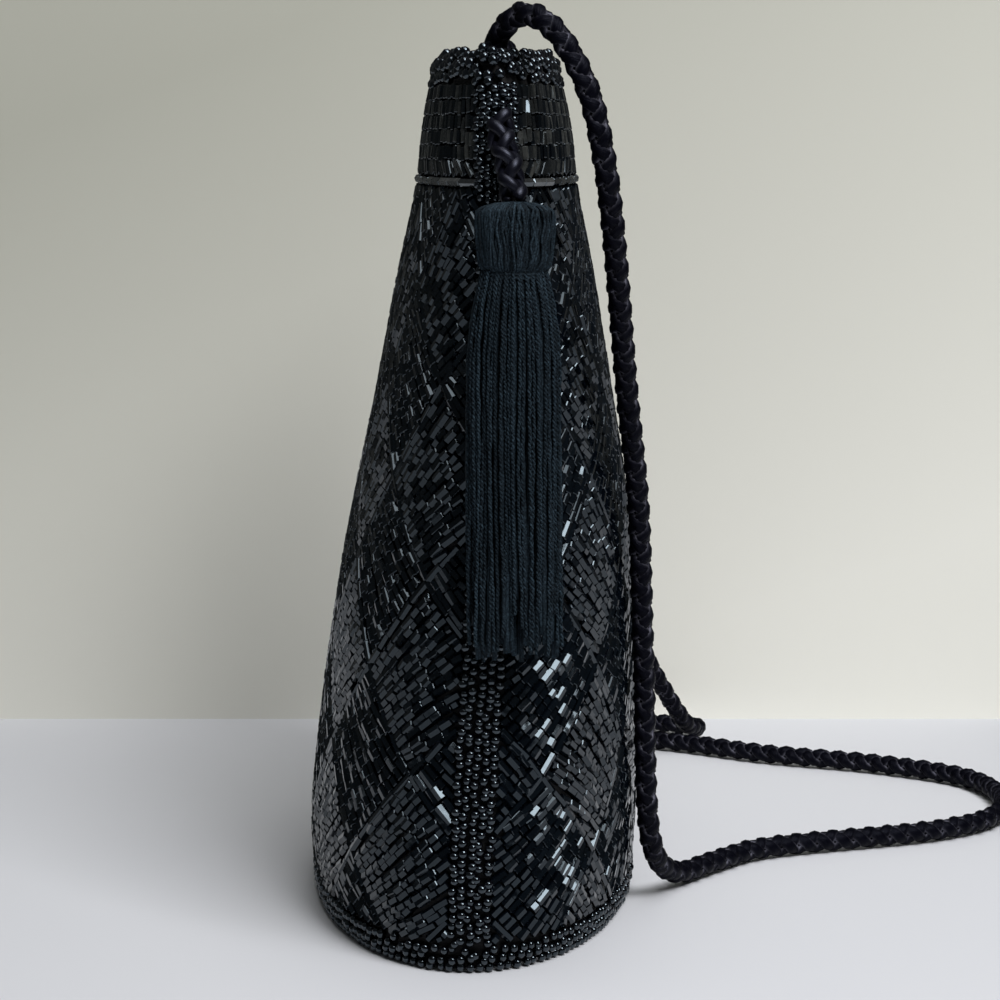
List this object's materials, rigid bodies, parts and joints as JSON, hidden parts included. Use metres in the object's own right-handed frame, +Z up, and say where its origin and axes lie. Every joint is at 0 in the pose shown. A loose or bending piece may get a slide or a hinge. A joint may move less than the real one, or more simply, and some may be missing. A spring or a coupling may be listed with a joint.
{
  "type": "beaded evening bag",
  "caption": "Tapered oval evening bag with an open mouth, covered in black glass beadwork laid as a diamond trellis, with a braided cord strap and a tassel on each side seam.",
  "frame": {"origin": "centre of the oval base's underside, on the surface that the bag stands on", "axes": "+Z up from the base to the mouth; Y along the oval's long axis, from side seam to side seam; +X out of the broad face on whose side the strap is laid"},
  "size_m": [0.1885, 0.2672, 0.2133],
  "materials": {
    "bugle_beads": "black cut glass tubes with flat, glossy faces",
    "seed_beads": "small round black glass beads, glossy",
    "bag_cloth": "plain black woven cloth",
    "strap_braid": "black braided cord with a faint blue-violet sheen",
    "tassel_thread": "dark slate-blue twisted rayon thread"
  },
  "bodies": {
    "root": {"base_panel": "bag_cloth", "base_edging": "seed_beads", "mouth_edging": "seed_beads", "panel_front": "bugle_beads", "panel_back": "bugle_beads", "divider_front": "bugle_beads", "divider_back": "bugle_beads", "collar_front": "bugle_beads", "collar_back": "bugle_beads", "seam_near": "seed_beads", "seam_far": "seed_beads", "strap_cord": "strap_braid", "tassel_cord_near": "strap_braid", "tassel_cord_far": "strap_braid", "tassel_near": "tassel_thread", "tassel_far": "tassel_thread"}
  },
  "joints": []
}
